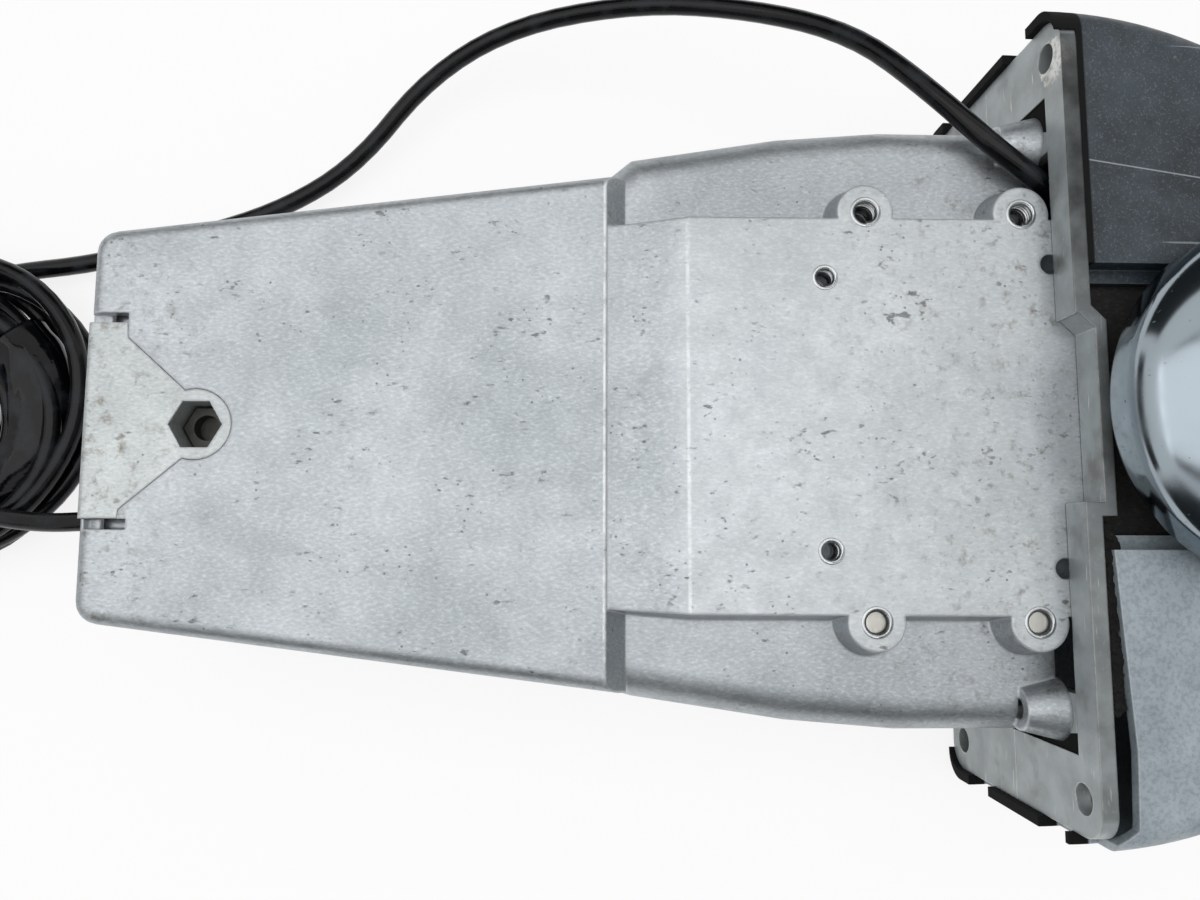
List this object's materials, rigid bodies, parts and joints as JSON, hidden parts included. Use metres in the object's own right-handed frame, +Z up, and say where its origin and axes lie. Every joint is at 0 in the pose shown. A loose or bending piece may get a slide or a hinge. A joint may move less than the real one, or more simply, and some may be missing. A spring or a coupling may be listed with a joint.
{
  "type": "boat throttle control lever",
  "caption": "Top-mounted single-lever boat throttle and shift control with a long cast housing below the deck.",
  "frame": {"origin": "centre of the deck flange at its underside, where the deck plane is", "axes": "+Z up out of the deck, -Y towards the lever's side, -X towards the bow"},
  "size_m": [0.2207, 0.1072, 0.5371],
  "materials": {
    "cast_aluminium": "as-cast satin",
    "flange_paint": "worn semi-gloss",
    "cover_plastic": "fine texture",
    "foam": "open-cell, crumbled",
    "chrome": "polished",
    "lever_metal": "satin",
    "grip_rubber": "soft matt",
    "switch_plastic": "moulded",
    "trigger_plastic": "moulded",
    "machine_steel": "machined",
    "zinc_steel": "zinc plated, dulled",
    "brass": "turned",
    "bush_plastic": "moulded",
    "lead_jacket": "glossy jacket",
    "connector_plastic": "moulded"
  },
  "bodies": {
    "housing": {"housing_near": "cast_aluminium", "housing_far": "cast_aluminium", "cable_clamp_plate": "cast_aluminium", "clamp_nut": "zinc_steel", "clamp_bolt": "zinc_steel", "housing_screws": "zinc_steel", "flange_near": "flange_paint", "flange_far": "flange_paint", "flange_screws": "zinc_steel", "fore_cover": "cover_plastic", "aft_cover": "cover_plastic", "crown_cover": "cover_plastic", "cover_screws": "zinc_steel", "foam_gasket": "foam", "near_bush": "bush_plastic", "far_bush": "bush_plastic", "shift_pivot_pin": "machine_steel", "pivot_clip": "machine_steel", "detent_plug": "brass", "detent_spring": "machine_steel", "friction_pad": "bush_plastic", "friction_screw": "brass", "neutral_switch": "switch_plastic", "lock_ring": "machine_steel", "lead_gland": "connector_plastic", "trim_lead": "lead_jacket", "trim_coil": "lead_jacket", "trim_tail": "lead_jacket", "trim_connector": "connector_plastic", "outlet_grommet": "connector_plastic", "switch_lead": "lead_jacket", "switch_coil": "lead_jacket", "switch_tail": "lead_jacket", "switch_connector": "connector_plastic", "coil_tie": "connector_plastic"},
    "lever": {"lever_shaft": "machine_steel", "lever_hub": "chrome", "hub_bolt": "zinc_steel", "lever_arm": "lever_metal", "grip_body": "grip_rubber", "grip_cap": "switch_plastic", "trim_bezel": "switch_plastic", "drive_gear": "machine_steel", "throttle_crank": "machine_steel", "detent_plate": "machine_steel", "lock_spring": "machine_steel"},
    "shift_arm": {"shift_arm": "machine_steel"},
    "shift_cable_end": {"shift_trunnion": "brass"},
    "throttle_cable_end": {"throttle_trunnion": "brass"},
    "neutral_lock": {"lock_rod": "machine_steel", "lock_trigger": "trigger_plastic"},
    "trim_switch": {"trim_rocker": "switch_plastic"},
    "warm_up_button": {"throttle_button": "switch_plastic"},
    "detent": {"detent_plunger": "machine_steel"}
  },
  "joints": [
    {"name": "lever_swing", "type": "hinge", "parent": "housing", "child": "lever", "pos_m": [0, 0, 0.043], "axis": [0, 1, 0], "range_deg": [-75, 75]},
    {"name": "shift_swing", "type": "hinge", "parent": "housing", "child": "shift_arm", "pos_m": [0, 0, -0.007], "axis": [0, 1, 0], "range_deg": [-36, 36]},
    {"name": "shift_end_turn", "type": "hinge", "parent": "shift_arm", "child": "shift_cable_end", "pos_m": [0, 0, -0.062], "axis": [0, 1, 0], "range_deg": [-36, 36]},
    {"name": "throttle_end_turn", "type": "hinge", "parent": "lever", "child": "throttle_cable_end", "pos_m": [0, 0, 0.0205], "axis": [0, 1, 0], "range_deg": [-76, 76]},
    {"name": "lock_lift", "type": "slide", "parent": "lever", "child": "neutral_lock", "axis": [0, 0, 1], "range_m": [0, 0.005], "stiffness_N_per_m": 400, "springref_m": -0.004, "deforming": ["lock_spring"]},
    {"name": "trim_rock", "type": "hinge", "parent": "lever", "child": "trim_switch", "pos_m": [0, -0.0575, 0.184], "axis": [1, 0, 0], "range_deg": [-8, 8], "stiffness_Nm_per_rad": 0.05},
    {"name": "warm_up_press", "type": "slide", "parent": "lever", "child": "warm_up_button", "axis": [0, 1, 0], "range_m": [0, 0.003], "stiffness_N_per_m": 500, "springref_m": -0.002},
    {"name": "detent_lift", "type": "slide", "parent": "housing", "child": "detent", "axis": [0, 0, 1], "range_m": [0, 0.0012], "stiffness_N_per_m": 800, "springref_m": -0.003, "deforming": ["detent_spring"]}
  ],
  "couplings": [
    {"joint": "shift_swing", "follows": "lever_swing", "ratio": -0.47059},
    {"joint": "shift_end_turn", "follows": "lever_swing", "ratio": 0.47059},
    {"joint": "throttle_end_turn", "follows": "lever_swing", "ratio": -1}
  ]
}
